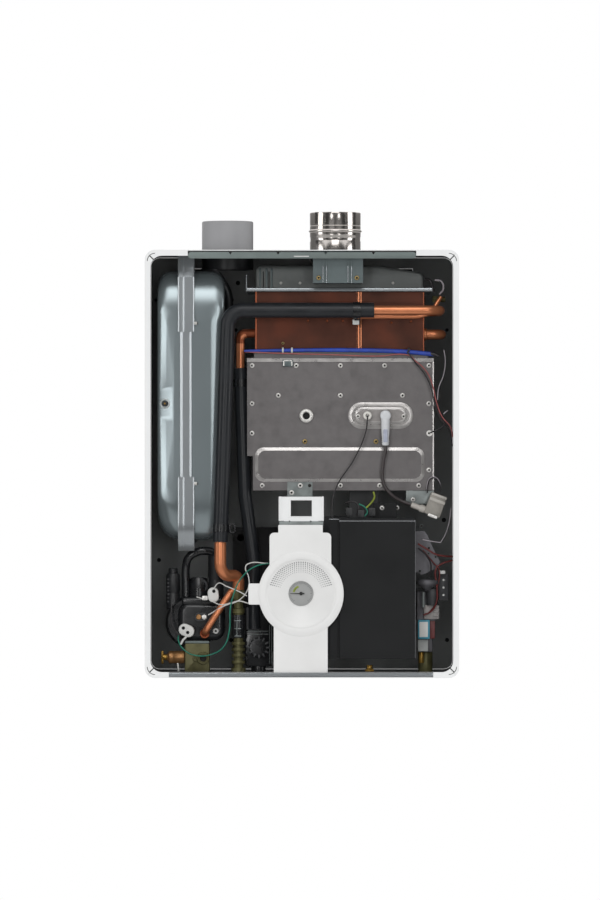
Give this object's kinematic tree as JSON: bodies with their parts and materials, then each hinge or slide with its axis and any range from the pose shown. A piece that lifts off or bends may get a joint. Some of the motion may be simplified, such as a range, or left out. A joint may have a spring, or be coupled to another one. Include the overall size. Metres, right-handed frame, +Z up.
{
  "type": "gas combi boiler with its cover off",
  "caption": "Wall-hung gas combi boiler with its front cover off: casing, flue collars, vessel, heat exchanger, burner, fan, pump, valves, gauge and control box.",
  "frame": {"origin": "middle of the flat back of the casing, which lies on the wall", "axes": "+X to the right seen from the open front, +Y back into the wall, +Z up"},
  "size_m": [0.47, 0.3, 0.7019],
  "materials": {
    "case_paint": "semi-gloss white enamel",
    "grey_trim": "satin grey-green coat",
    "grey_collar": "matte grey",
    "stainless": "polished stainless",
    "grey_hood": "satin dark grey",
    "steel_plate": "dull rolled steel",
    "galvanised": "zinc coated",
    "brown_copper": "heat-darkened copper",
    "bright_copper": "bright copper",
    "brass": "cast and turned brass",
    "black_foam": "matte foam",
    "black_plastic": "moulded black",
    "box_paint": "moulded black",
    "white_plastic": "satin white",
    "white_paint": "satin white coat",
    "ceramic": "bisque",
    "silicone": "translucent silicone",
    "beige_plastic": "moulded beige-grey",
    "cast_aluminium": "cast",
    "dial_face": "printed silver face",
    "needle_black": "matte black",
    "board_green": "solder mask green",
    "blue_sleeve": "soft blue sleeve",
    "red_wire": "dark red insulation",
    "green_wire": "green insulation",
    "black_wire": "black insulation"
  },
  "bodies": {
    "boiler": {"left_side": "case_paint", "right_side": "case_paint", "back_panel": "case_paint", "top_panel": "case_paint", "bottom_panel": "case_paint", "top_strip": "grey_trim", "bottom_strip": "grey_trim", "air_intake_collar": "grey_collar", "exhaust_collar": "stainless", "expansion_vessel": "galvanised", "vessel_air_valve": "brass", "upper_strap": "galvanised", "lower_strap": "galvanised", "flue_hood": "grey_hood", "exchanger_hanger": "grey_trim", "heat_exchanger": "brown_copper", "combustion_chamber": "steel_plate", "burner": "steel_plate", "burner_door": "steel_plate", "sight_port": "steel_plate", "igniter_plate": "steel_plate", "flame_rod": "ceramic", "ignition_boot": "silicone", "spark_generator": "beige_plastic", "fan_housing": "cast_aluminium", "fan_motor": "black_plastic", "gas_valve": "cast_aluminium", "gas_pipe": "cast_aluminium", "side_bracket": "steel_plate", "control_box": "box_paint", "control_lid": "box_paint", "circuit_board": "board_green", "gauge_cover": "white_plastic", "pressure_gauge": "dial_face", "cover_bracket": "white_paint", "zinc_bracket": "grey_trim", "water_block": "black_plastic", "pump_motor": "black_plastic", "air_vent": "black_plastic", "diverter_motor": "black_plastic", "brass_manifold": "brass", "drain_valve": "brass", "flow_fitting": "brass", "flow_sensor": "black_plastic", "plate_heat_exchanger": "stainless", "flow_pipe": "bright_copper", "flow_pipe_sleeve": "black_foam", "return_pipe": "bright_copper", "return_pipe_sleeve": "black_foam", "bypass_pipe": "bright_copper", "ignition_lead": "black_wire", "flame_rod_lead": "black_wire", "blue_loom": "blue_sleeve", "sensor_wire": "green_wire", "red_wire": "red_wire"},
    "fan_wheel": {"fan_impeller": "cast_aluminium"},
    "pump_wheel": {"pump_impeller": "stainless"},
    "diverter": {"diverter_plunger": "stainless"},
    "drain_lever": {"drain_handle": "brass"},
    "pointer": {"gauge_needle": "needle_black"}
  },
  "joints": [
    {"name": "fan_spin", "type": "hinge", "parent": "boiler", "child": "fan_wheel", "pos_m": [0.05, -0.17, -0.145], "axis": [0, 1, 0], "continuous": true},
    {"name": "pump_spin", "type": "hinge", "parent": "boiler", "child": "pump_wheel", "pos_m": [-0.166, -0.19, -0.2391], "axis": [0, 1, 0], "continuous": true},
    {"name": "diverter_slide", "type": "slide", "parent": "boiler", "child": "diverter", "axis": [0, 0, 1], "range_m": [0, 0.007]},
    {"name": "drain_turn", "type": "hinge", "parent": "boiler", "child": "drain_lever", "pos_m": [-0.207, -0.225, -0.2917], "axis": [1, 0, 0], "range_deg": [0, 90]},
    {"name": "needle_turn", "type": "hinge", "parent": "boiler", "child": "pointer", "pos_m": [-0.0013, -0.278, -0.1943], "axis": [0, 1, 0], "range_deg": [0, 180], "stiffness_Nm_per_rad": 0.0002}
  ]
}
